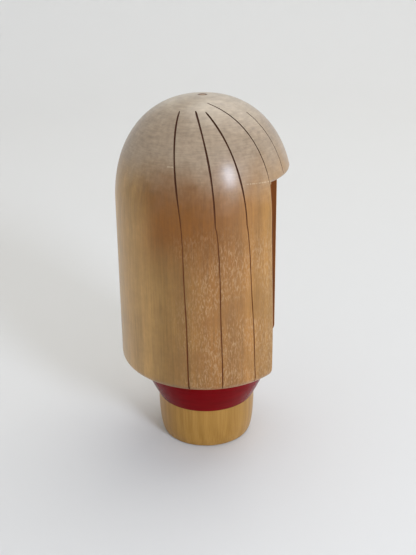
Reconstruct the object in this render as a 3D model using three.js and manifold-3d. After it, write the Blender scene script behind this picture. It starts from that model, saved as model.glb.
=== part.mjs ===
// A turned wooden kokeshi doll: a hair block bored out and opened at the front, the head inside it,
// and a body column with a red collar and a plain foot. The head turns on a pin in the body's neck.
// Millimetres, +Z up. The origin is the centre of the foot's flat underside, and the face looks to -Y.

import * as THREE from 'three';
import { mergeVertices } from 'three/addons/utils/BufferGeometryUtils.js';
import Module from 'manifold-3d';

const wasm = await Module();
wasm.setup();

// Driving dimensions.
const BLOCK_RADIUS = 40;          // hair block where the dome begins
const BLOCK_HEM_RADIUS = 40.4;    // hair block just above its rounded lower edge
const DOME_START = 119;           // height at which the side turns into the dome
const DOME_HEIGHT = 47.4;
const DOME_POWER = 2.235;         // 2 would be an ellipse, more is fuller
const BLOCK_BOTTOM = 41.2;
const BLOCK_EDGE_RADIUS = 4.4;
const FRINGE_BOTTOM = 133.7;
const OPENING_HALF_ANGLE = 36;    // degrees, from the middle of the face to either front edge
const BORE_RADIUS = 31.2;
const WALL_OVER_HEAD = 14;        // thickness of the block above the head
const COLLAR_BOTTOM = 21.3;
const COLLAR_LOW_RADIUS = 23.6;
const COLLAR_TOP_RADIUS = 31.8;
const COLLAR_SWELL = 30;          // degrees of arc in the collar's flare
const FOOT_REST_RADIUS = 21;
const FOOT_BELLY_RADIUS = 23.5;
const FOOT_BELLY_HEIGHT = 18;
const CHIN_HEIGHT = 87;
const NECK_RADIUS = 13;
const NECK_CLEARANCE = 0.4;       // between the chin's flat and the body's neck
const CHIN_ROUND = 19;            // height of the round under the cheeks
const SHOULDER_ROUND = 14;
const HEM_RADIUS = 29.6;          // body column at the collar
const WAIST_RADIUS = 28.2;
const SPIGOT_RADIUS = 13.5;
const SPIGOT_BOTTOM = 8;
const PIN_RADIUS = 5;
const PIN_CHAMFER = 0.8;
const HEAD_SOCKET_DEPTH = 24;
const BODY_SOCKET_DEPTH = 22;
const PLUG_RADIUS = 1.7;
const GAP = 0.3;                  // between pieces that touch
const GROOVE_RADIUS = 0.45;
const CUT_CLEARANCE = 10;         // how far a cutter runs past the face that it opens

// Fineness of the turned surfaces.
const SIDES = 60;
const SMALL_SIDES = 24;
const GROOVE_SIDES = 5;
const GROOVE_STEPS = 16;
const DOME_STEPS = 14;
const BORE_STEPS = 8;
const ROUND_STEPS = 7;
const EDGE_STEPS = 4;

// Heights and radii that follow from the driving dimensions.
const TOTAL_HEIGHT = DOME_START + DOME_HEIGHT;
const COLLAR_TOP = BLOCK_BOTTOM - GAP;
const HEAD_RADIUS = BORE_RADIUS - GAP;
const HEAD_TOP = TOTAL_HEIGHT - WALL_OVER_HEAD;
const HEAD_DOME_START = FRINGE_BOTTOM - 4;
const HEAD_SOCKET_TOP = CHIN_HEIGHT + HEAD_SOCKET_DEPTH;
const BODY_NECK_TOP = CHIN_HEIGHT - NECK_CLEARANCE;
const BODY_SOCKET_BOTTOM = BODY_NECK_TOP - BODY_SOCKET_DEPTH;

const degrees = THREE.MathUtils.degToRad;
const at = (radius, height) => new THREE.Vector2(radius, height);

// A closed geometry as a solid: shared vertices merged and the slivers at the axis left out.
function solid(geometry) {
  const bare = geometry.index ? geometry.clone() : geometry;
  bare.deleteAttribute('normal');
  bare.deleteAttribute('uv');
  const merged = mergeVertices(bare, 1e-4);
  const corners = merged.index.array;
  const kept = [];
  for (let i = 0; i < corners.length; i += 3) {
    const [a, b, c] = [corners[i], corners[i + 1], corners[i + 2]];
    if (a !== b && b !== c && c !== a) kept.push(a, b, c);
  }
  return new wasm.Manifold(new wasm.Mesh({
    numProp: 3,
    vertProperties: new Float32Array(merged.attributes.position.array),
    triVerts: new Uint32Array(kept),
  }));
}

// A profile of radius and height, turned about the Z axis. It runs upwards along the outside.
function turned(profile, sides = SIDES) {
  return solid(new THREE.LatheGeometry(profile, sides).rotateX(Math.PI / 2));
}

// A plain round bar between two heights.
function bar(radius, low, high, sides = SIDES) {
  return turned([at(0, low), at(radius, low), at(radius, high), at(0, high)], sides);
}

// Points on a quarter of a superellipse, from the side at `start` to the axis at start + height.
function domePoints(radius, start, height, power, count) {
  const points = [];
  for (let i = 0; i <= count; i += 1) {
    const angle = (Math.PI / 2) * (i / count);
    const out = i === count ? 0 : radius * Math.cos(angle) ** (2 / power);
    points.push(at(out, start + height * Math.sin(angle) ** (2 / power)));
  }
  return points;
}

// Points on an arc in the profile plane, between two angles measured from the outward direction.
function arcPoints(centre, radiusOut, radiusUp, from, to, count) {
  const points = [];
  for (let i = 0; i <= count; i += 1) {
    const angle = degrees(from + (to - from) * (i / count));
    points.push(at(centre.x + radiusOut * Math.cos(angle), centre.y + radiusUp * Math.sin(angle)));
  }
  return points;
}

// The hair block's outer radius at a height.
function blockRadius(height) {
  if (height <= DOME_START) {
    const share = (DOME_START - height) / (DOME_START - BLOCK_BOTTOM);
    const side = THREE.MathUtils.lerp(BLOCK_RADIUS, BLOCK_HEM_RADIUS, share);
    const below = Math.min(Math.max(BLOCK_BOTTOM + BLOCK_EDGE_RADIUS - height, 0), BLOCK_EDGE_RADIUS);
    return side - BLOCK_EDGE_RADIUS + Math.sqrt(BLOCK_EDGE_RADIUS ** 2 - below ** 2);
  }
  const rise = Math.min((height - DOME_START) / DOME_HEIGHT, 1);
  return BLOCK_RADIUS * (1 - rise ** DOME_POWER) ** (1 / DOME_POWER);
}

// The height of the dome's surface at a radius.
function domeHeight(radius) {
  return DOME_START + DOME_HEIGHT * (1 - (radius / BLOCK_RADIUS) ** DOME_POWER) ** (1 / DOME_POWER);
}

// A point at a radius and a height, turned from the middle of the face towards the doll's right.
function around(radius, height, angle) {
  return new THREE.Vector3(-radius * Math.sin(degrees(angle)), -radius * Math.cos(degrees(angle)), height);
}

// Each carved line of hair on one side of the head. Angles are from the middle of the face, in degrees,
// where the line starts on the crown, crosses the start of the dome and ends. Start is its first radius,
// ease is how gently it swings round on the dome, where 1 is a straight cut that passes beside the crown,
// and sweep is less than 1 where it turns soonest just below the dome.
const HAIR_LINES = [
  { crown: 23, dome: 18.5, hem: 18.5, start: 21.3, ease: 0.6, sweep: 1, end: FRINGE_BOTTOM },
  { crown: 74, dome: 36.8, hem: 36.8, start: 11.7, ease: 1, sweep: 1, end: FRINGE_BOTTOM },
  { crown: 79.5, dome: 56.8, hem: 49.5, start: 18, ease: 0.72, sweep: 0.7, end: BLOCK_BOTTOM },
  { crown: 92.8, dome: 76.5, hem: 72.7, start: 17.4, ease: 0.72, sweep: 0.4, end: BLOCK_BOTTOM },
  { crown: 115.3, dome: 97.2, hem: 94.2, start: 18.1, ease: 0.55, sweep: 0.7, end: BLOCK_BOTTOM },
];

// The angle of a hair line at a height. It swings back as it nears the crown.
function lineAngle(line, height) {
  if (height >= DOME_START) {
    const edge = 1 / BLOCK_RADIUS;
    const share = (1 / blockRadius(height) - edge) / (1 / line.start - edge);
    return THREE.MathUtils.lerp(line.dome, line.crown, Math.max(share, 0) ** line.ease);
  }
  const share = (DOME_START - height) / (DOME_START - BLOCK_BOTTOM);
  return THREE.MathUtils.lerp(line.dome, line.hem, share ** line.sweep);
}

// The cutter of one carved line, a thin bent rod that follows the outer surface.
function grooveCutter(line, side) {
  const points = [];
  const top = domeHeight(line.start);
  for (let i = 0; i <= GROOVE_STEPS; i += 1) {
    const height = line.end + (top - line.end) * Math.sin((Math.PI / 2) * (i / GROOVE_STEPS));
    points.push(around(blockRadius(height), height, side * lineAngle(line, height)));
  }
  const section = new THREE.Shape(arcPoints(at(0, 0), GROOVE_RADIUS, GROOVE_RADIUS, 0,
    360 * (1 - 1 / GROOVE_SIDES), GROOVE_SIDES - 1));
  return solid(new THREE.ExtrudeGeometry(section, {
    steps: GROOVE_STEPS,
    extrudePath: new THREE.CatmullRomCurve3(points),
  }));
}

// The wedge that opens the front of the block from its lower edge up to the fringe.
function frontWedge() {
  const reach = 2 * BLOCK_RADIUS;
  const half = degrees(OPENING_HALF_ANGLE);
  const outline = new THREE.Shape([
    new THREE.Vector2(0, 0),
    new THREE.Vector2(-reach * Math.sin(half), -reach * Math.cos(half)),
    new THREE.Vector2(reach * Math.sin(half), -reach * Math.cos(half)),
  ]);
  const low = BLOCK_BOTTOM - CUT_CLEARANCE;
  const wedge = new THREE.ExtrudeGeometry(outline, { depth: FRINGE_BOTTOM - low, bevelEnabled: false });
  return solid(wedge.translate(0, 0, low));
}

// The turned block of hair, bored from below, opened at the front and carved with fine lines.
function hairBlock() {
  const edge = BLOCK_EDGE_RADIUS;
  const outside = turned([
    at(0, BLOCK_BOTTOM),
    ...arcPoints(at(BLOCK_HEM_RADIUS - edge, BLOCK_BOTTOM + edge), edge, edge, -90, 0, EDGE_STEPS),
    ...domePoints(BLOCK_RADIUS, DOME_START, DOME_HEIGHT, DOME_POWER, DOME_STEPS),
  ]);
  const bore = turned([
    at(0, BLOCK_BOTTOM - CUT_CLEARANCE),
    at(BORE_RADIUS, BLOCK_BOTTOM - CUT_CLEARANCE),
    ...domePoints(BORE_RADIUS, HEAD_DOME_START, HEAD_TOP - HEAD_DOME_START + GAP, 2, BORE_STEPS),
  ]);
  const holeRadius = PLUG_RADIUS + GAP;
  const plugHole = bar(holeRadius, HEAD_TOP - CUT_CLEARANCE, TOTAL_HEIGHT + CUT_CLEARANCE, SMALL_SIDES);
  let block = outside.subtract(bore).subtract(plugHole).subtract(frontWedge());
  for (const line of HAIR_LINES) {
    for (const side of [1, -1]) block = block.subtract(grooveCutter(line, side));
  }
  return block;
}

// The small round plug that closes the lathe's centre hole in the crown.
function crownPlug() {
  const blank = bar(PLUG_RADIUS, HEAD_TOP + 2 * GAP, TOTAL_HEIGHT + CUT_CLEARANCE, SMALL_SIDES);
  const dome = turned([
    at(0, BLOCK_BOTTOM),
    ...domePoints(BLOCK_RADIUS, DOME_START, DOME_HEIGHT, DOME_POWER, DOME_STEPS),
  ]);
  return blank.intersect(dome);
}

// The head: a pale turned block with a round chin, a neck and a socket for the pin.
function head() {
  const cheek = at(NECK_RADIUS, CHIN_HEIGHT + CHIN_ROUND);
  return turned([
    at(0, HEAD_SOCKET_TOP),
    at(PIN_RADIUS + GAP, HEAD_SOCKET_TOP),
    at(PIN_RADIUS + GAP, CHIN_HEIGHT),
    at(NECK_RADIUS, CHIN_HEIGHT),
    ...arcPoints(cheek, HEAD_RADIUS - NECK_RADIUS, CHIN_ROUND, -78, 0, ROUND_STEPS),
    ...domePoints(HEAD_RADIUS, HEAD_DOME_START, HEAD_TOP - HEAD_DOME_START, 2, BORE_STEPS),
  ]);
}

// The body column in its kimono, with round shoulders, a socket for the pin and a spigot below.
function kimonoBody() {
  const shoulder = BODY_NECK_TOP - SHOULDER_ROUND;
  const waist = (BLOCK_BOTTOM + shoulder) / 2;
  return turned([
    at(0, SPIGOT_BOTTOM),
    at(SPIGOT_RADIUS, SPIGOT_BOTTOM),
    at(SPIGOT_RADIUS, BLOCK_BOTTOM),
    at(HEM_RADIUS, BLOCK_BOTTOM),
    at((HEM_RADIUS + WAIST_RADIUS) / 2, (BLOCK_BOTTOM + waist) / 2 - 2),
    at(WAIST_RADIUS, waist),
    ...arcPoints(at(NECK_RADIUS, shoulder), HEM_RADIUS - NECK_RADIUS, SHOULDER_ROUND, 0, 78, ROUND_STEPS),
    at(NECK_RADIUS, BODY_NECK_TOP),
    at(PIN_RADIUS + GAP, BODY_NECK_TOP),
    at(PIN_RADIUS + GAP, BODY_SOCKET_BOTTOM),
    at(0, BODY_SOCKET_BOTTOM),
  ]);
}

// The pin that the head turns on: a plain hardwood dowel with chamfered ends.
function neckPin() {
  const low = BODY_SOCKET_BOTTOM + GAP;
  const high = HEAD_SOCKET_TOP - GAP;
  return turned([
    at(0, low),
    at(PIN_RADIUS - PIN_CHAMFER, low),
    at(PIN_RADIUS, low + PIN_CHAMFER),
    at(PIN_RADIUS, high - PIN_CHAMFER),
    at(PIN_RADIUS - PIN_CHAMFER, high),
    at(0, high),
  ], SMALL_SIDES * 2);
}

// The collar's outer radius at a share of the way up. It leaves the foot at a slant and curves upright.
function collarRadius(share) {
  const turn = degrees(COLLAR_SWELL);
  const swell = (Math.sin(turn * (1 + share)) - Math.sin(turn)) / (Math.sin(2 * turn) - Math.sin(turn));
  return THREE.MathUtils.lerp(COLLAR_LOW_RADIUS, COLLAR_TOP_RADIUS, swell);
}

// The flared red collar, a ring on the body's spigot.
function redCollar() {
  const hole = SPIGOT_RADIUS + GAP;
  const flare = [];
  for (let i = 0; i <= EDGE_STEPS; i += 1) {
    const share = i / EDGE_STEPS;
    flare.push(at(collarRadius(share), THREE.MathUtils.lerp(COLLAR_BOTTOM, COLLAR_TOP, share)));
  }
  return turned([at(hole, COLLAR_BOTTOM), ...flare, at(hole, COLLAR_TOP), at(hole, COLLAR_BOTTOM)]);
}

// The plain cup-shaped foot, with a socket for the spigot.
function foot() {
  const top = COLLAR_BOTTOM - GAP;
  const socket = SPIGOT_RADIUS + GAP;
  const belly = at(FOOT_REST_RADIUS, FOOT_BELLY_HEIGHT);
  return turned([
    at(0, 0),
    at(FOOT_REST_RADIUS, 0),
    ...arcPoints(belly, FOOT_BELLY_RADIUS - FOOT_REST_RADIUS, belly.y, -70, 0, ROUND_STEPS),
    at(COLLAR_LOW_RADIUS, top),
    at(socket, top),
    at(socket, SPIGOT_BOTTOM - GAP),
    at(0, SPIGOT_BOTTOM - GAP),
  ]);
}

// A finished piece: the solid's vertices and triangles as a named mesh.
function piece(name, body, color, roughness) {
  const { numProp, vertProperties, triVerts } = body.getMesh();
  const places = new Float32Array((vertProperties.length / numProp) * 3);
  for (let i = 0; i < places.length / 3; i += 1) {
    places.set(vertProperties.subarray(i * numProp, i * numProp + 3), 3 * i);
  }
  const geometry = new THREE.BufferGeometry();
  geometry.setAttribute('position', new THREE.BufferAttribute(places, 3));
  geometry.setIndex(new THREE.BufferAttribute(triVerts, 1));
  geometry.computeVertexNormals();
  const material = new THREE.MeshStandardMaterial({ color, roughness, metalness: 0 });
  const mesh = new THREE.Mesh(geometry, material);
  mesh.name = name;
  return mesh;
}

const turningHead = new THREE.Group();
turningHead.add(
  piece('hair_block', hairBlock(), 0xb58f60, 0.38),
  piece('crown_plug', crownPlug(), 0x9a774c, 0.5),
  piece('head', head(), 0xe3cfac, 0.45),
);

const standingBody = new THREE.Group();
standingBody.add(
  piece('kimono_body', kimonoBody(), 0xc7a06a, 0.45),
  piece('neck_pin', neckPin(), 0xb08a55, 0.6),
  piece('red_collar', redCollar(), 0x7c0410, 0.2),
  piece('foot', foot(), 0xbd9150, 0.4),
);

const doll = new THREE.Group();
doll.add(turningHead, standingBody);

export default doll;
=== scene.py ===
import math

import bpy
from mathutils import Matrix, Vector


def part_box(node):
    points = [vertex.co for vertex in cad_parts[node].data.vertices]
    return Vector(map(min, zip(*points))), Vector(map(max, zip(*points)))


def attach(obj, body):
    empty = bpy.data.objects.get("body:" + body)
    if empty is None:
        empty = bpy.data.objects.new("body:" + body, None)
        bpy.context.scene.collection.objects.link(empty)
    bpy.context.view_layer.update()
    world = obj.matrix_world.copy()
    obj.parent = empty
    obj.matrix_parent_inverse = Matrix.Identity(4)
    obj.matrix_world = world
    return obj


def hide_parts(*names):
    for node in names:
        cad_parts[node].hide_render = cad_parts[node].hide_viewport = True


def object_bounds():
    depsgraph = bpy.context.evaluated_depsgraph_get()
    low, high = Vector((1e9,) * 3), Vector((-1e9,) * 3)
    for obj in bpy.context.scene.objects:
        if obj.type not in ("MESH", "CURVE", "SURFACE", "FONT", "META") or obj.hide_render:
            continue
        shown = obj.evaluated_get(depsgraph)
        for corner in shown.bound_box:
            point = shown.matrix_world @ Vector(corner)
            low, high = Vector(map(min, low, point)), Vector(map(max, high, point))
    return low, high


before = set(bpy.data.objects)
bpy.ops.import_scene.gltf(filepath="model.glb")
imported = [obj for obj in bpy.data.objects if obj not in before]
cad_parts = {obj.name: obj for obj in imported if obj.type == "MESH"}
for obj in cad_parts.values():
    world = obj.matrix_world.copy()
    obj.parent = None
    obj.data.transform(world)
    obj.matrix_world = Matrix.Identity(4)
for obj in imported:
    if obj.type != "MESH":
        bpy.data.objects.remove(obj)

# The view. The doll stands with its face to -Y, and the camera is close by, on its right and above it,
# so that the face is seen from the side, at the right edge of the hair.
MM = 0.001
cad_low, cad_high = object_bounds()
view_azimuth = math.radians(-83.35)
view_tilt = math.radians(23.36)
view_roll = math.radians(-0.68)
view_distance = 401 * MM
view_aim = Vector((0, 0, 80.2 * MM))
view_shift = 1.45 * MM

towards_camera = Vector((
    math.sin(view_azimuth) * math.cos(view_tilt),
    -math.cos(view_azimuth) * math.cos(view_tilt),
    math.sin(view_tilt),
))
camera_turn = (-towards_camera).to_track_quat("-Z", "Y").to_matrix()
camera_right = camera_turn @ Vector((1, 0, 0))
bpy.ops.object.select_all(action="DESELECT")
bpy.ops.object.camera_add(location=view_aim + view_distance * towards_camera + view_shift * camera_right)
camera = bpy.context.object
camera.name = "camera"
camera.rotation_mode = "QUATERNION"
camera.rotation_quaternion = (camera_turn @ Matrix.Rotation(view_roll, 3, "Z")).to_quaternion()
camera.data.lens = 55.1
camera.data.sensor_width = 36
camera.data.clip_start = 10 * MM
bpy.context.scene.camera = camera


# The table and the wall round it: one sheet of pale matt card, flat where the doll stands and swept up
# in a wide curve on every side, so that no edge shows behind the doll from any direction.
def linear(hex_colour, alpha=1.0):
    """An sRGB hex colour, such as "C9A66B", as the linear colour that a shader takes."""
    channels = [int(hex_colour[i : i + 2], 16) / 255 for i in (0, 2, 4)]
    return (*[c / 12.92 if c <= 0.04045 else ((c + 0.055) / 1.055) ** 2.4 for c in channels], alpha)


def add(tree, kind, inputs, output=0, stops=(), **settings):
    """Adds a node with its settings. Inputs are sockets to link or values, and stops are a colour ramp's."""
    node = tree.nodes.new(kind)
    for name, value in settings.items():
        setattr(node, name, value)
    for name, value in inputs.items():
        if isinstance(value, bpy.types.NodeSocket):
            tree.links.new(value, node.inputs[name])
        else:
            node.inputs[name].default_value = value
    if stops:
        ramp = node.color_ramp.elements
        while len(ramp) < len(stops):
            ramp.new(0.5)
        for element, (position, colour) in zip(ramp, stops):
            element.position = position
            element.color = linear(colour)
    return node.outputs[output]


def new_finish(name):
    """A new material, with its node tree and its shader."""
    material = bpy.data.materials.new(name)
    material.use_nodes = True
    tree = material.node_tree
    shader = tree.nodes["Principled BSDF"]
    return material, tree, shader


def outline_spun(name, outline, steps):
    """Draws an outline of (radius, height) points, one after the other, and turns it round the Z axis."""
    bpy.ops.object.select_all(action="DESELECT")
    bpy.ops.mesh.primitive_plane_add(size=MM)
    piece = bpy.context.object
    piece.name = name
    piece.data.name = name
    bpy.ops.object.mode_set(mode="EDIT")
    bpy.ops.mesh.select_mode(type="VERT")
    bpy.ops.mesh.merge(type="CENTER")
    bpy.ops.transform.translate(value=(outline[0][0], 0, outline[0][1]))
    for (radius, height), (next_radius, next_height) in zip(outline, outline[1:]):
        step = (next_radius - radius, 0, next_height - height)
        bpy.ops.mesh.extrude_vertices_move(TRANSFORM_OT_translate={"value": step})
    bpy.ops.mesh.select_all(action="SELECT")
    bpy.ops.mesh.spin(steps=steps, angle=math.tau, center=(0, 0, 0), axis=(0, 0, 1))
    bpy.ops.mesh.select_all(action="SELECT")
    bpy.ops.mesh.remove_doubles(threshold=0.002 * MM)
    bpy.ops.mesh.normals_make_consistent(inside=False)
    bpy.ops.object.mode_set(mode="OBJECT")
    return piece


def arc(centre_radius, centre_height, radius, start, end, steps):
    """Points on an arc of an outline, between two angles in degrees measured from the outward direction."""
    angles = [math.radians(start + (end - start) * i / steps) for i in range(steps + 1)]
    return [(centre_radius + radius * math.cos(a), centre_height + radius * math.sin(a)) for a in angles]


card_flat_radius = 0.75
card_curve_radius = 0.6
card_top = 1.6
card = outline_spun("card", [
    (0, 0),
    (card_flat_radius / 2, 0),
    *arc(card_flat_radius, card_curve_radius, card_curve_radius, -90, 0, 12),
    (card_flat_radius + card_curve_radius, card_top),
], steps=64)
bpy.ops.object.mode_set(mode="EDIT")
bpy.ops.mesh.select_all(action="SELECT")
bpy.ops.mesh.flip_normals()
bpy.ops.object.mode_set(mode="OBJECT")
bpy.ops.object.shade_smooth()
card_finish, _, shader = new_finish("matt_card")
shader.inputs["Base Color"].default_value = linear("DDDDDC")
shader.inputs["Roughness"].default_value = 0.9
card.data.materials.append(card_finish)

# The light: a wide soft box overhead, a tall window on the side that the camera is on, towards the face,
# and a pale room all round.
def soft_box(name, place, aim, width, height, power, colour):
    """A flat lamp, in metres and watts, that faces the place it is aimed at."""
    bpy.ops.object.light_add(type="AREA", location=place)
    light = bpy.context.object
    light.name = name
    light.data.shape = "RECTANGLE"
    light.data.size = width
    light.data.size_y = height
    light.data.energy = power
    light.data.color = linear(colour)[:3]
    light.rotation_euler = (Vector(aim) - Vector(place)).to_track_quat("-Z", "Y").to_euler()


middle = Vector((0, 0, 90 * MM))
window_way = Vector((-0.6935, -0.6145, 0.370))
window_distance = 1.1
overhead_place = Vector((0.55, -0.3, 1.25))
window_place = middle + window_distance * window_way
soft_box("window", window_place, middle, width=0.24, height=0.34, power=7.5, colour="E2ECFF")
soft_box("overhead", overhead_place, middle, width=1.3, height=1.3, power=8, colour="FFFDF8")
room = bpy.data.worlds.new("pale_room")
bpy.context.scene.world = room
room.use_nodes = True
room_light = room.node_tree.nodes["Background"]
room_light.inputs["Color"].default_value = linear("F2F1EF")
room_light.inputs["Strength"].default_value = 0.72
bpy.context.scene.view_settings.view_transform = "Standard"


# Hair block. One piece of close-grained hardwood, turned to a bullet, bored out from below and opened at
# the front with a saw. The lines of hair are cut with a fine gouge and burnt dark, and the block is stained
# a warm brown and varnished by hand. Its end-grain dome is greyer than its sides, partly its own tone and
# partly a painted sheen of the overhead light.
block_radius = 40 * MM
hem_radius = 40.4 * MM
block_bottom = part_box("hair_block")[0].z
dome_start = 119 * MM
dome_height = cad_high.z - dome_start
dome_power = 2.235
edge_radius = 4.4 * MM
fringe_bottom = 133.7 * MM
fringe_round = 2.1 * MM
opening_half_angle = 36
bore_radius = 31.2 * MM
bore_dome_start = fringe_bottom - 4 * MM
head_clearance = 0.3 * MM
bore_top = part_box("head")[1].z + head_clearance
bore_rise = bore_top - bore_dome_start
outside_bore = bore_radius + 2 * MM
plug_hole_radius = 1.85 * MM
last_row = 151 * MM
front_ease = 0.45 * MM
block_sides = 240
hair_line_radius = 0.38 * MM
hair_line_steps = 90
line_deepens = 14 * MM
tiny = 0.01 * MM
tiny_angle = 0.1


def block_radius_at(height):
    """The outer radius of the hair block at a height."""
    if height > dome_start:
        rise = min((height - dome_start) / dome_height, 1)
        return block_radius * (1 - rise**dome_power) ** (1 / dome_power)
    share = (dome_start - height) / (dome_start - block_bottom)
    side = block_radius + (hem_radius - block_radius) * share
    below = min(max(block_bottom + edge_radius - height, 0), edge_radius)
    return side - edge_radius + math.sqrt(edge_radius**2 - below**2)


def dome_height_at(radius):
    """The height of the dome's surface at a radius."""
    return dome_start + dome_height * (1 - (radius / block_radius) ** dome_power) ** (1 / dome_power)


def evenly(low, high, count):
    """Heights or radii at even steps, without the first."""
    return [low + (high - low) * i / count for i in range(1, count + 1)]


def bore_radius_at(height):
    """The radius of the bore, which ends in a shallow dome over the head."""
    rise = max(height - bore_dome_start, 0) / bore_rise
    return bore_radius * math.sqrt(max(1 - rise**2, 0))


corner = arc(hem_radius - edge_radius, block_bottom + edge_radius, edge_radius, -90, 0, 10)
fringe_rows = [fringe_bottom + fringe_round * share for share in (0, 0.04, 0.15, 0.33, 0.6, 1)]
outer_rows = evenly(block_bottom + edge_radius, dome_start, 12) + evenly(dome_start, fringe_bottom, 6)
outer_rows += fringe_rows[1:] + evenly(fringe_rows[-1], last_row, 7)
crown_radii = evenly(block_radius_at(last_row), plug_hole_radius, 14)
bore_rows = [bore_dome_start + bore_rise * math.sin(math.radians(5 * i)) for i in range(17, -1, -1)]
bore_rows = sorted(bore_rows + [fringe_bottom], reverse=True)
hair = outline_spun("hair", [
    (bore_radius, block_bottom),
    *corner,
    *[(block_radius_at(row), row) for row in outer_rows],
    *[(radius, dome_height_at(radius)) for radius in crown_radii],
    (plug_hole_radius, bore_top),
    *[(bore_radius_at(row), row) for row in bore_rows],
    (bore_radius, block_bottom),
], steps=block_sides)


def front_angle(point):
    """How far round from the middle of the face a point lies, in degrees, positive to the doll's right."""
    return math.degrees(math.atan2(-point[0], -point[1]))


def pick(piece, mode, chosen):
    """Selects what `chosen` says yes to: a vertex, the two ends of an edge, or the middle of a face."""
    bpy.ops.object.mode_set(mode="EDIT")
    bpy.ops.mesh.select_mode(type=mode)
    bpy.ops.mesh.select_all(action="DESELECT")
    bpy.ops.object.mode_set(mode="OBJECT")
    mesh = piece.data
    if mode == "FACE":
        for face in mesh.polygons:
            face.select = chosen(face.center)
    elif mode == "EDGE":
        for edge in mesh.edges:
            edge.select = chosen(*[mesh.vertices[v].co for v in edge.vertices])
    else:
        for vertex in mesh.vertices:
            vertex.select = chosen(vertex.co)
    bpy.ops.object.mode_set(mode="EDIT")


def on_front_edge(point):
    """Whether a point lies on either straight front edge."""
    return abs(abs(front_angle(point)) - opening_half_angle) < tiny_angle


# The opening: the wall between the two front edges comes away, from the lower edge up to the fringe.
pick(hair, "FACE", lambda c: c.z < fringe_bottom and abs(front_angle(c)) < opening_half_angle)
bpy.ops.mesh.delete(type="FACE")
for side in (-1, 1):
    pick(hair, "VERT", lambda c: c.z < fringe_bottom + tiny and on_front_edge(c) and side * c.x < 0)
    bpy.ops.mesh.edge_face_add()
pick(hair, "EDGE", lambda a, b: max(abs(a.z - fringe_bottom), abs(b.z - fringe_bottom)) < tiny
     and abs(front_angle((a + b) / 2)) < opening_half_angle
     and abs(front_angle(a) - front_angle(b)) > tiny_angle)
bpy.ops.mesh.bridge_edge_loops()
# The fringe's lower edge is rounded over, row by row, and the two front edges are eased.
round_centre = block_radius_at(fringe_rows[-1]) - fringe_round
for row in fringe_rows:
    drop = fringe_rows[-1] - row
    rounded = round_centre + math.sqrt(max(fringe_round**2 - drop**2, 0))
    pick(hair, "VERT", lambda c: abs(c.z - row) < tiny and c.xy.length > outside_bore
         and abs(front_angle(c)) < opening_half_angle - tiny_angle)
    scale = min(rounded / block_radius_at(row), 1)
    bpy.ops.transform.resize(value=(scale, scale, 1), center_override=(0, 0, row))
pick(hair, "EDGE", lambda a, b: max(a.z, b.z) < fringe_bottom - tiny
     and min(a.xy.length, b.xy.length) > outside_bore and on_front_edge(a) and on_front_edge(b))
bpy.ops.mesh.bevel(offset=front_ease, segments=2)
bpy.ops.mesh.select_all(action="SELECT")
bpy.ops.mesh.normals_make_consistent(inside=False)
bpy.ops.object.mode_set(mode="OBJECT")
# The saw strayed on the doll's right. It started behind the straight edge, swung in front of it on the way
# down, and came some of the way back. These three are in degrees, and the last is how far from the edge the
# wall still follows it.
starts_back = 1
strays = 3.15
stray_fades = 14
# The part of a wave that the saw's path makes, the power that keeps it for the lower half, and the share
# that takes in the eased corner beyond the edge.
stray_swing = 0.7 * math.pi
stray_delay = 1.7
past_edge = 1.1
for vertex in hair.data.vertices:
    fall = (fringe_bottom - vertex.co.z) / (fringe_bottom - block_bottom)
    near_edge = 1 - (front_angle(vertex.co) - opening_half_angle) / stray_fades
    if 0 < fall <= 1 and 0 < near_edge < past_edge:
        forward = strays * math.sin(stray_swing * fall**stray_delay) - starts_back
        vertex.co.xy = Matrix.Rotation(math.radians(forward * min(near_edge, 1)), 2) @ vertex.co.xy

# The lines of hair on each side of the face. Angles are from the middle of the face, where the line
# starts on the crown, crosses the dome's start and ends. Ease is how gently it swings round, sweep how soon
# it bends on the side, and thick is its width on the dome, under the dome and at its end, as shares.
hair_lines = [
    {"crown": 23, "dome": 18.5, "hem": 18.5, "start": 21.3 * MM, "ease": 0.6, "sweep": 1,
     "end": fringe_bottom, "thick": (0.62, 0.25, 0.25)},
    {"crown": 74, "dome": 36.8, "hem": 36.8, "start": 11.7 * MM, "ease": 1, "sweep": 1,
     "end": fringe_bottom, "thick": (0.85, 0.2, 0.2)},
    {"crown": 79.5, "dome": 56.8, "hem": 49.5, "start": 18 * MM, "ease": 0.72, "sweep": 0.7,
     "end": block_bottom, "thick": (1.05, 0.62, 0.65)},
    {"crown": 92.8, "dome": 76.5, "hem": 72.7, "start": 17.4 * MM, "ease": 0.72, "sweep": 0.4,
     "end": block_bottom, "thick": (1.05, 0.62, 0.8)},
    {"crown": 115.3, "dome": 97.2, "hem": 94.2, "start": 18.1 * MM, "ease": 0.55, "sweep": 0.7,
     "end": block_bottom, "thick": (1, 0.5, 1)},
]
# A hand-cut line wavers, by part of a degree and by a share of its width, and narrows to a tip at the crown.
line_waver = 0.15
line_waver_length = 7 * MM
width_waver = 0.12
width_waver_length = 3 * MM
line_tip = 0.3
line_opens = 10


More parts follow.
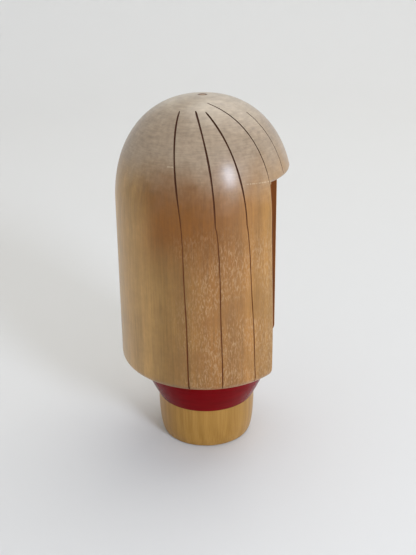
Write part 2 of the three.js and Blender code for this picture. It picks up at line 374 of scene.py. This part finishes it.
def hair_line_point(line, share, side):
    """A point on a line of hair, from its lower end, share 0, to the crown, share 1, and its width there."""
    top = dome_height_at(line["start"])
    height = line["end"] + (top - line["end"]) * math.sin(share * math.pi / 2)
    fall = max(dome_start - height, 0) / (dome_start - block_bottom)
    above = max(height - max(dome_start, line["end"]), 0)
    dome_thick, thick, end_thick = line["thick"]
    thick += (end_thick - thick) * fall + (dome_thick - thick) * min(above / line_deepens, 1)
    if height > dome_start:
        edge = 1 / block_radius
        swing = max(1 / block_radius_at(height) - edge, 0) / (1 / line["start"] - edge)
        angle = line["dome"] + (line["crown"] - line["dome"]) * swing ** line["ease"]
    else:
        angle = line["dome"] + (line["hem"] - line["dome"]) * fall ** line["sweep"]
    waver = line_waver * math.sin(height / line_waver_length + 2 * line["dome"] + side)
    angle = side * math.radians(angle + waver)
    thick *= 1 + width_waver * math.sin(height / width_waver_length + line["hem"])
    fade = min(1, line_tip + line_opens * (1 - share))
    radius = block_radius_at(height)
    return (-radius * math.sin(angle), -radius * math.cos(angle), height), thick * fade


def bent_rod(name, points, radius, corners):
    """A closed rod through a list of (place, share of the radius)."""
    bpy.ops.object.select_all(action="DESELECT")
    bpy.ops.curve.primitive_nurbs_path_add()
    rod = bpy.context.object
    rod.name = name
    rod.data.splines.clear()
    spline = rod.data.splines.new("POLY")
    spline.points.add(len(points) - 1)
    for point, (place, width) in zip(spline.points, points):
        point.co = (*place, 1)
        point.radius = width
    rod.data.bevel_depth = radius
    rod.data.bevel_resolution = corners
    rod.data.use_fill_caps = True
    bpy.ops.object.convert(target="MESH")
    rod = bpy.context.object
    rod.data.name = name
    return rod


def joined(pieces):
    """Several objects as one, with the first one's name."""
    bpy.ops.object.select_all(action="DESELECT")
    for piece in pieces:
        piece.select_set(True)
    bpy.context.view_layer.objects.active = pieces[0]
    bpy.ops.object.join()
    return bpy.context.object


rods = []
for line in hair_lines:
    for side in (-1, 1):
        points = [hair_line_point(line, i / hair_line_steps, side) for i in range(hair_line_steps + 1)]
        rods.append(bent_rod("hair_line", points, hair_line_radius, 1))
gouge = joined(rods)


# The finish: close-grained hardwood, stained and varnished with a satin coat. The end grain of the dome is
# greyer, partly its own tone and partly a painted sheen of the overhead light, and the crown is paler still,
# partly worn by hands and partly painted sheen. The sides are a warm brown, darkest just below the dome,
# where the stain pooled, and lighter towards the back partly as a painted sheen. The grain is 0.8 mm wide
# and 12 mm long, the marks of turning are 0.55 mm apart and
# 5 mm long, and the pale flecks of the wood's rays are 0.6 mm by 2 mm, all coarser than in the real wood so
# that they show.
hair_wood, tree, shader = new_finish("stained_varnished_hardwood")
place = add(tree, "ShaderNodeTexCoord", {}, "Object")
across = add(tree, "ShaderNodeSeparateXYZ", {"Vector": place}, "X")
back = add(tree, "ShaderNodeSeparateXYZ", {"Vector": place}, "Y")
height = add(tree, "ShaderNodeSeparateXYZ", {"Vector": place}, "Z")
cloud = add(tree, "ShaderNodeTexNoise", {"Vector": place, "Scale": 1 / (18 * MM), "Detail": 4})
uneven_height = add(tree, "ShaderNodeMath", {0: cloud, 1: 24 * MM, 2: height}, operation="MULTIPLY_ADD")
uneven_back = add(tree, "ShaderNodeMath", {0: cloud, 1: 14 * MM, 2: back}, operation="MULTIPLY_ADD")
along_grain = add(tree, "ShaderNodeMapping", {"Vector": place, "Scale": (1, 1, 0.07)})
grain = add(tree, "ShaderNodeTexNoise", {"Vector": along_grain, "Scale": 1 / (0.8 * MM), "Detail": 3})
broad_place = add(tree, "ShaderNodeMapping", {"Vector": place, "Scale": (1, 1, 0.03)})
broad_grain = add(tree, "ShaderNodeTexNoise", {"Vector": broad_place, "Scale": 1 / (4 * MM), "Detail": 2})
turned_place = add(tree, "ShaderNodeMapping", {"Vector": place, "Scale": (0.1, 0.1, 1)})
turning = add(tree, "ShaderNodeTexNoise", {"Vector": turned_place, "Scale": 1 / (0.55 * MM), "Detail": 2})
mottle = add(tree, "ShaderNodeTexNoise", {"Vector": place, "Scale": 1 / (2 * MM), "Detail": 5})

# The sides, from the front edge, at the first stop, round to the back. The lighter last stop, towards the
# back, is partly a painted sheen of the pale room on the varnish, over the wood's own tone.
around = add(tree, "ShaderNodeMapRange", {"Value": uneven_back, "From Min": -32 * MM, "From Max": 46 * MM})
side = add(tree, "ShaderNodeValToRGB", {"Fac": around},
           stops=[(0.05, "A47738"), (0.22, "A06E34"), (0.42, "8B5C26"), (0.66, "8E6933"), (0.88, "B48C52")])
streaks = add(tree, "ShaderNodeMapRange", {"Value": broad_grain, "From Min": 0.3, "From Max": 0.7,
              "To Min": 0.86, "To Max": 1.14})
side = add(tree, "ShaderNodeVectorMath", {0: side, 1: streaks}, operation="MULTIPLY")

# The pooled stain lies between the two heights, away from the front edge and the back.
pooled = add(tree, "ShaderNodeMapRange", {"Value": uneven_height, "From Min": 100 * MM, "From Max": 130 * MM},
             interpolation_type="SMOOTHSTEP")
pool_limits = ((uneven_height, 168 * MM, 138 * MM), (back, 30 * MM, 12 * MM), (back, -32 * MM, -2 * MM))
for value, low, high in pool_limits:
    limit = add(tree, "ShaderNodeMapRange", {"Value": value, "From Min": low, "From Max": high},
                interpolation_type="SMOOTHSTEP")
    pooled = add(tree, "ShaderNodeMath", {0: pooled, 1: limit}, operation="MULTIPLY")
wood = add(tree, "ShaderNodeMixRGB", {"Fac": pooled, "Color1": side, "Color2": linear("7A4804")})

# The end grain starts on the dome's shoulder. Its greyer tone is partly its own and partly a painted sheen
# of the overhead light, and the paler crown near its top is partly wear and partly painted sheen.
end_grain = add(tree, "ShaderNodeMapRange", {"Value": uneven_height, "From Min": 136 * MM,
                "From Max": 162 * MM}, interpolation_type="SMOOTHSTEP")
dome_tan = add(tree, "ShaderNodeValToRGB", {"Fac": mottle}, stops=[(0.25, "94806A"), (0.75, "A38F77")])
wood = add(tree, "ShaderNodeMixRGB", {"Fac": end_grain, "Color1": wood, "Color2": dome_tan})
crown_wear_and_sheen = add(tree, "ShaderNodeMapRange", {"Value": uneven_height, "From Min": 164 * MM, "From Max": 186 * MM,
           "To Max": 0.8}, interpolation_type="SMOOTHSTEP")
wood = add(tree, "ShaderNodeMixRGB", {"Fac": crown_wear_and_sheen, "Color1": wood, "Color2": linear("BDB09C")})

# Fine unevenness, each as a range of brightness. The marks of turning show on the end grain, and the grain
# itself on the sides.
fine = add(tree, "ShaderNodeMix", {0: end_grain, 2: grain, 3: turning})
for value, low, high in ((fine, 0.88, 1.12), (mottle, 0.95, 1.05), (cloud, 0.9, 1.1)):
    shade = add(tree, "ShaderNodeMapRange", {"Value": value, "From Min": 0.28, "From Max": 0.72,
                "To Min": low, "To Max": high})
    wood = add(tree, "ShaderNodeVectorMath", {0: wood, 1: shade}, operation="MULTIPLY")

# Painted shade: the lower front is darker, where less of the light reaches it.
low_front = add(tree, "ShaderNodeMath", {0: back, 1: 0.8, 2: height}, operation="MULTIPLY_ADD")
low_front_painted_shade = add(tree, "ShaderNodeMapRange", {"Value": low_front, "From Min": 20 * MM, "From Max": 70 * MM,
              "To Min": 0.87})
wood = add(tree, "ShaderNodeVectorMath", {0: wood, 1: low_front_painted_shade}, operation="MULTIPLY")

# The flecks show where the wood was cut across its rays, below the dome and away from the back.
fleck_place = add(tree, "ShaderNodeMapping", {"Vector": place, "Scale": (1, 1, 0.3)})
fleck = add(tree, "ShaderNodeTexNoise", {"Vector": fleck_place, "Scale": 1 / (0.6 * MM), "Detail": 3,
            "Distortion": 0.6})
fleck = add(tree, "ShaderNodeMapRange", {"Value": fleck, "From Min": 0.46, "From Max": 0.8, "To Max": 0.66})
fleck_limits = ((uneven_height, 136 * MM, 116 * MM), (back, 16 * MM, -4 * MM), (cloud, 0.28, 0.58))
for value, low, high in fleck_limits:
    limit = add(tree, "ShaderNodeMapRange", {"Value": value, "From Min": low, "From Max": high},
                interpolation_type="SMOOTHSTEP")
    fleck = add(tree, "ShaderNodeMath", {0: fleck, 1: limit}, operation="MULTIPLY")
wood = add(tree, "ShaderNodeMixRGB", {"Fac": fleck, "Color1": wood, "Color2": linear("C8A67C")})

# Bare pale wood where the saw ran on past the fringe, and in one old scratch. The pale lower edge is partly
# worn bare wood and partly a painted highlight of light from the table below.
edge = add(tree, "ShaderNodeMapRange", {"Value": height, "From Min": block_bottom + 1.1 * MM,
           "From Max": block_bottom + 0.5 * MM, "To Max": 0.65})
kerf = add(tree, "ShaderNodeMath", {0: back, 1: -0.11, 2: height}, operation="MULTIPLY_ADD")
kerf = add(tree, "ShaderNodeMath", {0: kerf, 1: 138.5 * MM, 2: 0.2 * MM}, operation="COMPARE")
kerf_length = add(tree, "ShaderNodeMath", {0: back, 1: -26 * MM, 2: 5 * MM}, operation="COMPARE")
kerf = add(tree, "ShaderNodeMath", {0: kerf, 1: kerf_length}, operation="MULTIPLY")
scratch = add(tree, "ShaderNodeMath", {0: height, 1: 143.6 * MM, 2: 0.3 * MM}, operation="COMPARE")
scratch_length = add(tree, "ShaderNodeMath", {0: back, 1: 9.3 * MM, 2: 1.4 * MM}, operation="COMPARE")
scratch = add(tree, "ShaderNodeMath", {0: scratch, 1: scratch_length}, operation="MULTIPLY")
mark = add(tree, "ShaderNodeMath", {0: kerf, 1: scratch}, operation="MAXIMUM")
right_side = add(tree, "ShaderNodeMath", {0: across, 1: 0}, operation="LESS_THAN")
mark = add(tree, "ShaderNodeMath", {0: mark, 1: right_side}, operation="MULTIPLY")
faint = add(tree, "ShaderNodeMapRange", {"Value": grain, "From Min": 0.35, "From Max": 0.7, "To Max": 0.6})
mark = add(tree, "ShaderNodeMath", {0: mark, 1: faint}, operation="MULTIPLY")
bare_wood_and_edge_highlight = add(tree, "ShaderNodeMath", {0: edge, 1: mark}, operation="MAXIMUM")
wood = add(tree, "ShaderNodeMixRGB", {"Fac": bare_wood_and_edge_highlight, "Color1": wood, "Color2": linear("D8C4A4")})
# Dark glue has stained the wood round the crown plug.
from_axis = add(tree, "ShaderNodeVectorMath", {0: place, 1: (1, 1, 0)}, operation="MULTIPLY")
from_axis = add(tree, "ShaderNodeVectorMath", {0: from_axis}, "Value", operation="LENGTH")
glue = add(tree, "ShaderNodeMapRange", {"Value": from_axis, "From Min": plug_hole_radius + 0.6 * MM,
           "From Max": plug_hole_radius, "To Max": 0.75})
wood = add(tree, "ShaderNodeMixRGB", {"Fac": glue, "Color1": wood, "Color2": linear("5A3A28")})
tree.links.new(wood, shader.inputs["Base Color"])

skin = add(tree, "ShaderNodeBump", {"Height": fine, "Strength": 0.2, "Distance": 0.05 * MM})
tree.links.new(skin, shader.inputs["Normal"])
dull = add(tree, "ShaderNodeMapRange", {"Value": mottle, "To Min": 0.36, "To Max": 0.5})
tree.links.new(dull, shader.inputs["Roughness"])
shader.inputs["IOR"].default_value = 1.5
shader.inputs["Specular IOR Level"].default_value = 0.25
shader.inputs["Coat Weight"].default_value = 0.55
shader.inputs["Coat Roughness"].default_value = 0.24

# Bored and sawn wood: stained, with no gloss, and painted darker and redder than the stain alone as the
# shade inside the hollow behind the front edges.
bored_wood_stain_and_shade, tree, shader = new_finish("bored_hardwood_stain_and_shade")
place = add(tree, "ShaderNodeTexCoord", {}, "Object")
long_grain = add(tree, "ShaderNodeMapping", {"Vector": place, "Scale": (1, 1, 0.05)})
grain = add(tree, "ShaderNodeTexNoise", {"Vector": long_grain, "Scale": 1 / (1 * MM), "Detail": 4})
colour = add(tree, "ShaderNodeValToRGB", {"Fac": grain}, stops=[(0.3, "542605"), (0.7, "723C0A")])
tree.links.new(colour, shader.inputs["Base Color"])
rough = add(tree, "ShaderNodeBump", {"Height": grain, "Strength": 0.5, "Distance": 0.1 * MM})
tree.links.new(rough, shader.inputs["Normal"])
shader.inputs["Roughness"].default_value = 0.6
shader.inputs["IOR"].default_value = 1.5
shader.inputs["Specular IOR Level"].default_value = 0.15

# Burnt wood, at the bottom of the cut lines: matt dark brown where the gouge cut deep, on the dome, and a
# redder brown down the sides.
burnt, tree, shader = new_finish("burnt_wood_line")
place = add(tree, "ShaderNodeTexCoord", {}, "Object")
height = add(tree, "ShaderNodeSeparateXYZ", {"Vector": place}, "Z")
char = add(tree, "ShaderNodeTexNoise", {"Vector": place, "Scale": 1 / (3 * MM), "Detail": 2})
char = add(tree, "ShaderNodeMath", {0: char, 1: 20 * MM, 2: height}, operation="MULTIPLY_ADD")
depth = add(tree, "ShaderNodeMapRange", {"Value": char, "From Min": 120 * MM, "From Max": 150 * MM})
colour = add(tree, "ShaderNodeValToRGB", {"Fac": depth}, stops=[(0, "663717"), (1, "42220F")])
tree.links.new(colour, shader.inputs["Base Color"])
shader.inputs["Roughness"].default_value = 0.7
shader.inputs["Specular IOR Level"].default_value = 0.2

hair.data.materials.append(hair_wood)
hair.data.materials.append(burnt)
hair.data.materials.append(bored_wood_stain_and_shade)
gouge.data.materials.clear()
gouge.data.materials.append(burnt)


def select_only(piece):
    """Selects one piece, and nothing else."""
    bpy.ops.object.select_all(action="DESELECT")
    piece.select_set(True)
    bpy.context.view_layer.objects.active = piece


select_only(hair)
cut = hair.modifiers.new("hair_lines", "BOOLEAN")
cut.object = gouge
cut.solver = "EXACT"
cut.material_mode = "TRANSFER"
bpy.ops.object.modifier_apply(modifier="hair_lines")
bpy.data.objects.remove(gouge)


def is_sawn(point):
    """Whether a point lies in the bore, on a sawn edge or on the underside of the fringe."""
    in_opening = abs(front_angle(point)) < opening_half_angle + starts_back + tiny_angle
    in_wall = point.z < fringe_bottom + tiny and point.xy.length < block_radius_at(point.z) - front_ease
    in_bore = point.xy.length < bore_radius_at(point.z) + tiny
    return point.z > block_bottom + tiny and (in_bore or in_opening and in_wall)


def finish_faces(piece, slot, chosen):
    """Gives the finish in one of a piece's slots to the faces that `chosen` says yes to."""
    pick(piece, "FACE", chosen)
    piece.active_material_index = slot
    bpy.ops.object.material_slot_assign()
    bpy.ops.object.mode_set(mode="OBJECT")


finish_faces(hair, 2, is_sawn)
bpy.ops.object.shade_smooth_by_angle(angle=math.radians(32))
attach(hair, "turning_head")
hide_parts("hair_block")


# Crown plug. A short dowel of the same wood, glued into the lathe's centre hole at the very top with its end
# grain up, and sanded to the dome. A dark line of glue shows round it.
plug_radius = 1.6 * MM
plug_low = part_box("crown_plug")[0].z
plug_top = cad_high.z - 0.15 * MM
plug_ease = 0.25 * MM
plug_shoulder = 0.05 * MM
plug_crown = 0.06 * MM
plug = outline_spun("plug", [
    (0, plug_low),
    (plug_radius, plug_low),
    *[(plug_radius, plug_low + (plug_top - plug_ease - plug_low) * i / 4) for i in range(1, 5)],
    *arc(plug_radius - plug_ease, plug_top - plug_ease, plug_ease, 30, 90, 3),
    (plug_radius / 2, plug_top + plug_shoulder),
    (0, plug_top + plug_crown),
], steps=32)
end_grain_wood, tree, shader = new_finish("sanded_end_grain")
place = add(tree, "ShaderNodeTexCoord", {}, "Object")
pores = add(tree, "ShaderNodeTexVoronoi", {"Vector": place, "Scale": 1 / (0.5 * MM)})
colour = add(tree, "ShaderNodeValToRGB", {"Fac": pores}, stops=[(0.05, "6B4A30"), (0.45, "987A5E")])
tree.links.new(colour, shader.inputs["Base Color"])
shader.inputs["Roughness"].default_value = 0.5
shader.inputs["IOR"].default_value = 1.5
plug.data.materials.append(end_grain_wood)
bpy.ops.object.shade_smooth_by_angle(angle=math.radians(32))
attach(plug, "turning_head")
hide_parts("crown_plug")


# Head. Pale close-grained wood, turned with a round chin and left white, rubbed with wax and then painted
# with a brush in ink and red. The face is calm: closed eyes, thin brows, a dot of a nose and a small mouth.
head_low, head_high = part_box("head")
# The head is turned a little smaller than the bore, and its cheeks are drawn in below the dome.
head_slack = 0.7 * MM
head_radius = head_high.x - head_slack
cheek_draw = 0.5 * MM
cheek_height = 8 * MM
head_dome_start = fringe_bottom - 4 * MM
head_dome_height = head_high.z - head_dome_start
neck_radius = 13 * MM
pin_hole_radius = 5.3 * MM
head_socket_top = head_low.z + 24 * MM
chin_round = 19 * MM
chin_start = -78


def head_radius_at(height):
    """The head's outer radius at a height, over the chin, the cheeks, which are drawn in, and the dome."""
    if height > head_dome_start:
        rise = (height - head_dome_start) / head_dome_height
        return head_radius * math.sqrt(max(1 - rise**2, 0))
    drop = min(max(head_low.z + chin_round - height, 0) / chin_round, 1)
    below_dome = min((head_dome_start - height) / cheek_height, 1)
    cheek_radius = head_radius - cheek_draw * math.sin(below_dome * math.pi / 2)
    return neck_radius + (cheek_radius - neck_radius) * math.sqrt(1 - drop**2)


chin_rows = [head_low.z + chin_round * (1 + math.sin(math.radians(a))) for a in range(chin_start, 1, 6)]
head_rows = chin_rows + evenly(head_low.z + chin_round, head_dome_start, 10)
head_rows += [head_dome_start + head_dome_height * math.sin(math.radians(a)) for a in range(6, 90, 6)]
head = outline_spun("pale_head", [
    (0, head_socket_top),
    (pin_hole_radius, head_socket_top),
    (pin_hole_radius, head_low.z),
    (neck_radius, head_low.z),
    *[(head_radius_at(row), row) for row in head_rows],
    (0, head_high.z),
], steps=128)

# A brush stroke is a flattened rod that stands 0.05 mm proud of the wood.
paint_thickness = 0.05 * MM
stroke_radius = 0.5 * MM


def brush_stroke(name, path, radius_at, finish):
    """A stroke of paint on a turned surface, through (degrees from the middle, height, share of width)."""
    points = []
    for angle, row, width in path:
        turn = math.radians(angle)
        points.append(((-radius_at(row) * math.sin(turn), -radius_at(row) * math.cos(turn), row), width))
    stroke = bent_rod(name, points, stroke_radius, 2)
    for vertex in stroke.data.vertices:
        away = vertex.co.xy.length - radius_at(vertex.co.z)
        flat = radius_at(vertex.co.z) + paint_thickness * away / stroke_radius
        vertex.co.xy *= flat / vertex.co.xy.length
    stroke.data.materials.append(finish)
    bpy.ops.object.shade_smooth()
    return stroke


def bow(middle_angle, middle_row, half_width, rise, thick, count=16):
    """The path of a bowed stroke with tapered ends, in degrees and metres."""
    tip = 0.04
    path = []
    for i in range(count + 1):
        share = 2 * i / count - 1
        taper = max(1 - share**2, tip) ** 0.5
        path.append((middle_angle + half_width * share, middle_row + rise * (1 - share**2), thick * taper))
    return path


def brushed_paint(name, thick_colour, thin_colour, roughness):
    """Water-based paint from a brush: nearly matt, and paler in places 1.5 mm across where it is thin."""
    finish, tree, shader = new_finish(name)
    place = add(tree, "ShaderNodeTexCoord", {}, "Object")
    wet = add(tree, "ShaderNodeTexNoise", {"Vector": place, "Scale": 1 / (1.5 * MM), "Detail": 2})
    colour = add(tree, "ShaderNodeValToRGB", {"Fac": wet}, stops=[(0.3, thick_colour), (0.7, thin_colour)])
    tree.links.new(colour, shader.inputs["Base Color"])
    shader.inputs["Roughness"].default_value = roughness
    shader.inputs["IOR"].default_value = 1.45
    return finish


ink = brushed_paint("brushed_ink", "14100E", "2A221C", 0.45)
red_paint = brushed_paint("brushed_red_paint", "8E0A10", "A81620", 0.4)

eye_row = 112.5 * MM
brow_row = 121 * MM
nose_row = 106 * MM
mouth_row = 99.5 * MM
upper_lip_row = mouth_row + 0.5 * MM
eye_angle = 15.5
brow_angle = 16.5
upper_lip_angle = 1.7
ink_paths = []
for side in (-1, 1):
    ink_paths.append(bow(side * eye_angle, eye_row, half_width=7, rise=-1.5 * MM, thick=1.05))
    ink_paths.append(bow(side * brow_angle, brow_row, half_width=8, rise=1.6 * MM, thick=0.55))
ink_paths.append(bow(0, nose_row, half_width=2.2, rise=-0.7 * MM, thick=0.5))
face_ink = joined([brush_stroke("face_ink", path, head_radius_at, ink) for path in ink_paths])
mouth_paths = [bow(0, mouth_row, half_width=4.2, rise=-0.9 * MM, thick=1.2)]
for side in (-1, 1):
    mouth_paths.append(bow(side * upper_lip_angle, upper_lip_row, half_width=2.2, rise=0.35 * MM, thick=0.9))
mouth = joined([brush_stroke("mouth", path, head_radius_at, red_paint) for path in mouth_paths])


def plain_wood(name, light, dark, ring_width, roughness):
    """Waxed or varnished wood: soft growth rings, fine grain 0.8 mm wide along it, and a low sheen."""
    finish, tree, shader = new_finish(name)
    place = add(tree, "ShaderNodeTexCoord", {}, "Object")
    # The tree's heart lies outside the piece. A wave of scale 0.314 has its rings one metre apart.
    heart_place = (55 * MM, 30 * MM, 0)
    ring_scale = 0.314 / ring_width
    heart = add(tree, "ShaderNodeMapping", {"Vector": place, "Location": heart_place, "Scale": (1, 1, 0.08)})
    rings = add(tree, "ShaderNodeTexWave", {"Vector": heart, "Scale": ring_scale, "Distortion": 2.5,
                "Detail": 3, "Detail Scale": 1.5}, "Fac", wave_type="RINGS", rings_direction="Z")
    long_grain = add(tree, "ShaderNodeMapping", {"Vector": place, "Scale": (1, 1, 0.04)})
    grain = add(tree, "ShaderNodeTexNoise", {"Vector": long_grain, "Scale": 1 / (0.8 * MM), "Detail": 3})
    shade = add(tree, "ShaderNodeMath", {0: rings, 1: 0.3, 2: grain}, operation="MULTIPLY_ADD")
    colour = add(tree, "ShaderNodeValToRGB", {"Fac": shade}, stops=[(0.35, dark), (0.95, light)])
    tree.links.new(colour, shader.inputs["Base Color"])
    bump = add(tree, "ShaderNodeBump", {"Height": grain, "Strength": 0.2, "Distance": 0.04 * MM})
    tree.links.new(bump, shader.inputs["Normal"])
    shader.inputs["Roughness"].default_value = roughness
    shader.inputs["IOR"].default_value = 1.5
    shader.inputs["Specular IOR Level"].default_value = 0.3
    shader.inputs["Coat Weight"].default_value = 0.2
    shader.inputs["Coat Roughness"].default_value = 0.25
    return finish


head.data.materials.append(plain_wood("waxed_pale_wood", "EAD9BC", "DCC39C", 3 * MM, 0.45))
select_only(head)
bpy.ops.object.shade_smooth_by_angle(angle=math.radians(32))
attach(head, "turning_head")
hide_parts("head")
for paint in (face_ink, mouth):
    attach(paint, "turning_head")


# Red collar. A flared ring turned in hardwood, finished in deep red lacquer on the lathe, and glued between
# the foot and the body, whose spigot goes through it.
collar_low, collar_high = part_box("red_collar")
collar_low_radius = 23.6 * MM
collar_top_radius = 31.8 * MM
spigot_hole_radius = 13.8 * MM
collar_swell = math.radians(30)
collar_ease = 0.3 * MM
collar_steps = 18


def collar_radius_at(share):
    """The collar's radius at a share of the way up. It leaves the foot at a slant and curves upright."""
    first = math.sin(collar_swell)
    swell = (math.sin(collar_swell * (1 + share)) - first) / (math.sin(2 * collar_swell) - first)
    return collar_low_radius + (collar_top_radius - collar_low_radius) * swell


collar_rows = [i / collar_steps for i in range(1, collar_steps)]
collar_height = collar_high.z - collar_low.z
collar = outline_spun("collar", [
    (spigot_hole_radius, collar_low.z),
    (collar_low_radius, collar_low.z),
    *[(collar_radius_at(share), collar_low.z + collar_height * share) for share in collar_rows],
    *arc(collar_top_radius - collar_ease, collar_high.z - collar_ease, collar_ease, 0, 90, 3),
    (spigot_hole_radius, collar_high.z),
    (spigot_hole_radius, collar_low.z),
], steps=160)
# Lacquer brushed on round the ring: a smooth film of deep red, with faint ripples 1.2 mm apart that run
# round it and a tight, dim shine.
red_lacquer, tree, shader = new_finish("deep_red_lacquer")
place = add(tree, "ShaderNodeTexCoord", {}, "Object")
round_place = add(tree, "ShaderNodeMapping", {"Vector": place, "Scale": (0.08, 0.08, 1)})
brushed = add(tree, "ShaderNodeTexNoise", {"Vector": round_place, "Scale": 1 / (1.2 * MM), "Detail": 2})
colour = add(tree, "ShaderNodeValToRGB", {"Fac": brushed}, stops=[(0.3, "6A0004"), (0.7, "780008")])
tree.links.new(colour, shader.inputs["Base Color"])
ripple = add(tree, "ShaderNodeBump", {"Height": brushed, "Strength": 0.06, "Distance": 0.05 * MM})
tree.links.new(ripple, shader.inputs["Normal"])
shader.inputs["Roughness"].default_value = 0.22
shader.inputs["IOR"].default_value = 1.5
shader.inputs["Specular IOR Level"].default_value = 0.05
collar.data.materials.append(red_lacquer)
bpy.ops.object.shade_smooth_by_angle(angle=math.radians(40))
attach(collar, "standing_body")
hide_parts("red_collar")


# Foot. A plain cup of honey-coloured wood, turned with a soft belly and bored for the body's spigot, and
# varnished. Its lower edge is eased so that it doesn't chip.
foot_rest_radius = 21 * MM
foot_belly_radius = 23.5 * MM
foot_ease = 0.8 * MM
socket_bottom = 7.7 * MM
belly_row = 18 * MM


def foot_radius_at(height):
    """The foot's outer radius: an arc up to the belly, then nearly straight to the collar."""
    if height < belly_row:
        drop = (belly_row - height) / belly_row
        return foot_rest_radius + (foot_belly_radius - foot_rest_radius) * math.sqrt(1 - drop**2)
    share = (height - belly_row) / (collar_low.z - belly_row)
    return foot_belly_radius + (collar_low_radius - foot_belly_radius) * share**2


foot_rows = [belly_row * (1 - math.cos(math.radians(a))) for a in range(15, 91, 5)]
foot_top = collar_low.z - tiny
foot_rows += evenly(belly_row, foot_top, 3)
foot = outline_spun("cup_foot", [
    (0, 0),
    (foot_rest_radius - foot_ease, 0),
    *[(foot_radius_at(row), row) for row in foot_rows],
    (spigot_hole_radius, foot_top),
    (spigot_hole_radius, socket_bottom),
    (0, socket_bottom),
], steps=160)
foot.data.materials.append(plain_wood("varnished_honey_wood", "AE823C", "986D2A", 4 * MM, 0.38))
bpy.ops.object.shade_smooth_by_angle(angle=math.radians(32))
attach(foot, "standing_body")
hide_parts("foot")


# Body. A honey-coloured column with round shoulders, turned with fine grooves either side of its red sash,
# and painted with the crossed collars of a kimono and small plum blossoms.
body_low, body_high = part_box("kimono_body")
spigot_radius = 13.5 * MM
hem_column_radius = 29.6 * MM
waist_radius = 28.2 * MM
shoulder_round = 14 * MM
shoulder_row = body_high.z - shoulder_round
waist_row = (block_bottom + shoulder_row) / 2
body_socket_bottom = body_high.z - 22 * MM
sash_low = 55 * MM
sash_high = 64 * MM
groove_depth = 0.35 * MM
groove_half = 0.4 * MM
column_ease = 0.3 * MM
spigot_ease = 0.5 * MM


def body_radius_at(height):
    """The column's outer radius, drawn in at the waist and rounded over at the shoulders."""
    if height > shoulder_row:
        rise = min((height - shoulder_row) / shoulder_round, 1)
        return neck_radius + (hem_column_radius - neck_radius) * math.sqrt(max(1 - rise**2, 0))
    near = min(abs(height - waist_row) / (shoulder_row - waist_row), 1)
    return waist_radius + (hem_column_radius - waist_radius) * near**2


def sash_groove(row):
    """The points of a fine turned groove round the body."""
    return [
        (body_radius_at(row - groove_half), row - groove_half),
        (body_radius_at(row) - groove_depth, row),
        (body_radius_at(row + groove_half), row + groove_half),
    ]


column_bottom = block_bottom + column_ease
low_rows = [column_bottom] + evenly(column_bottom, sash_low - 2 * MM, 6)
sash_rows = evenly(sash_low + groove_half, sash_high - groove_half, 8)[:-1]
high_rows = evenly(sash_high + MM, shoulder_row, 6)
shoulder_rows = [shoulder_row + shoulder_round * math.sin(math.radians(a)) for a in range(6, 80, 6)]
body = outline_spun("body", [
    (0, body_low.z),
    (spigot_radius - spigot_ease, body_low.z),
    (spigot_radius, body_low.z + spigot_ease),
    (spigot_radius, block_bottom),
    (hem_column_radius - column_ease, block_bottom),
    *[(body_radius_at(row), row) for row in low_rows],
    *sash_groove(sash_low),
    *[(body_radius_at(row), row) for row in sash_rows],
    *sash_groove(sash_high),
    *[(body_radius_at(row), row) for row in high_rows + shoulder_rows],
    (neck_radius, body_high.z),
    (pin_hole_radius, body_high.z),
    (pin_hole_radius, body_socket_bottom),
    (0, body_socket_bottom),
], steps=128)
body.data.materials.append(plain_wood("waxed_honey_wood", "D2AA70", "B98D52", 4 * MM, 0.45))
body.data.materials.append(red_paint)
finish_faces(body, 1, lambda c: sash_low < c.z < sash_high and c.xy.length > neck_radius + MM)
bpy.ops.object.shade_smooth_by_angle(angle=math.radians(32))
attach(body, "standing_body")
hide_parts("kimono_body")


def straight(first, last, thick, count=14):
    """The path of a straight stroke between two (degrees, height) points, with blunt ends."""
    end_thick = 0.75
    path = []
    for i in range(count + 1):
        share = i / count
        angle = first[0] + (last[0] - first[0]) * share
        row = first[1] + (last[1] - first[1]) * share
        path.append((angle, row, thick * (end_thick + (1 - end_thick) * math.sin(math.pi * share))))
    return path


# Places on the body are (degrees from the middle, height). One lapel runs from a shoulder to the sash, and
# the other ends where it meets the first.
right_shoulder = (30, 83 * MM)
left_shoulder = (-30, 83 * MM)
above_sash = (-14, sash_high + 1.4 * MM)
at_crossing = (-1.5, 70 * MM + 1.2 * MM)
lapel_paths = [straight(right_shoulder, above_sash, 3), straight(left_shoulder, at_crossing, 3)]
lapels = joined([brush_stroke("lapels", path, body_radius_at, red_paint) for path in lapel_paths])

# Each blossom is five round petals about a small dark heart.
petals = 5
petal_reach = 1.25 * MM
blossom_middles = [(-14, 49.5 * MM), (3, 46.5 * MM), (17, 50.5 * MM)]
blossoms = []
for middle_angle, middle_row in blossom_middles:
    for petal in range(petals):
        turn = math.radians(360 / petals * petal + 90)
        row = middle_row + petal_reach * math.sin(turn)
        angle = middle_angle + math.degrees(petal_reach * math.cos(turn) / body_radius_at(middle_row))
        path = bow(angle, row, half_width=1.6, rise=0, thick=1.6, count=8)
        blossoms.append(brush_stroke("blossoms", path, body_radius_at, red_paint))
    path = bow(middle_angle, middle_row, half_width=0.9, rise=0, thick=0.8, count=8)
    blossoms.append(brush_stroke("blossoms", path, body_radius_at, ink))
blossoms = joined(blossoms)
for paint in (lapels, blossoms):
    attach(paint, "standing_body")


# Neck pin. A plain hardwood dowel, glued in the body, that the head turns on.
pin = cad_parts["neck_pin"]
pin.data.materials.clear()
pin.data.materials.append(plain_wood("dowel_wood", "B68E58", "9A7442", 2 * MM, 0.6))
